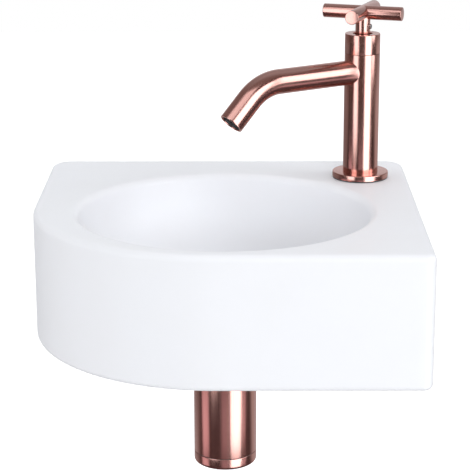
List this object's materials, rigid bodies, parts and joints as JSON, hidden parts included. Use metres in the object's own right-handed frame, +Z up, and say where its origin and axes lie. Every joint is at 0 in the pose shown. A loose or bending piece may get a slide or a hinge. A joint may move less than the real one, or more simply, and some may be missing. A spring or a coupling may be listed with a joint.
{
  "type": "hand basin",
  "caption": "Wall-hung hand basin with a round bowl and a broad rounded front corner, a cross-handle cold tap, an open waste with a lift-out cover and a bottle trap.",
  "frame": {"origin": "on the wall face, midway between the two wall fixing holes", "axes": "+X along the wall to the tap's side, +Y into the wall, +Z up"},
  "size_m": [0.3, 0.32, 0.3505],
  "materials": {
    "white_glaze": "satin white glaze over vitreous china",
    "brushed_copper": "satin brushed copper-coloured plating on brass",
    "plain_brass": "plain turned brass",
    "black_rubber": "black moulded rubber",
    "valve_ceramic": "lapped off-white technical ceramic",
    "stainless": "plain stainless steel",
    "white_plastic": "moulded white plastic",
    "black_plastic": "moulded black plastic"
  },
  "bodies": {
    "basin": {"basin_ceramic": "white_glaze", "tap_body": "brushed_copper", "tap_base_plate": "brushed_copper", "base_gasket": "black_rubber", "inlet_tail": "plain_brass", "inlet_seal": "black_rubber", "inlet_washer": "stainless", "inlet_backnut": "plain_brass", "spout_tube": "brushed_copper", "aerator_ring": "black_plastic", "aerator_insert": "black_plastic", "aerator_seal": "black_rubber", "tap_sleeve": "brushed_copper", "valve_housing": "plain_brass", "valve_seal": "black_rubber", "valve_fixed_disc": "valve_ceramic", "waste_body": "brushed_copper", "waste_upper_seal": "black_rubber", "waste_lower_seal": "black_rubber", "waste_locknut": "plain_brass", "trap_coupling_nut": "brushed_copper", "trap_coupling_seal": "black_rubber", "trap_dip_tube": "white_plastic", "trap_body": "brushed_copper", "outlet_nut": "brushed_copper", "outlet_seal": "black_rubber", "outlet_pipe": "brushed_copper", "wall_rosette": "brushed_copper"},
    "handle": {"handle_stem": "brushed_copper", "handle_cross": "brushed_copper", "handle_grub_screw": "stainless", "valve_spindle": "plain_brass", "valve_turning_disc": "valve_ceramic", "spindle_seal": "black_rubber", "spindle_clip": "stainless"},
    "waste_cover": {"waste_cover": "brushed_copper"},
    "trap_cap": {"trap_cap": "brushed_copper", "trap_cap_seal": "black_rubber"}
  },
  "joints": [
    {"name": "handle_turn", "type": "hinge", "parent": "basin", "child": "handle", "pos_m": [0.1104, -0.06, 0.14], "axis": [0, 0, 1], "range_deg": [0, 90]},
    {"name": "waste_cover_lift", "type": "slide", "parent": "basin", "child": "waste_cover", "axis": [0, 0, 1], "range_m": [0, 0.016]},
    {"name": "trap_cap_unscrew", "type": "slide", "parent": "basin", "child": "trap_cap", "axis": [0, 0, -1], "range_m": [0, 0.03]}
  ]
}
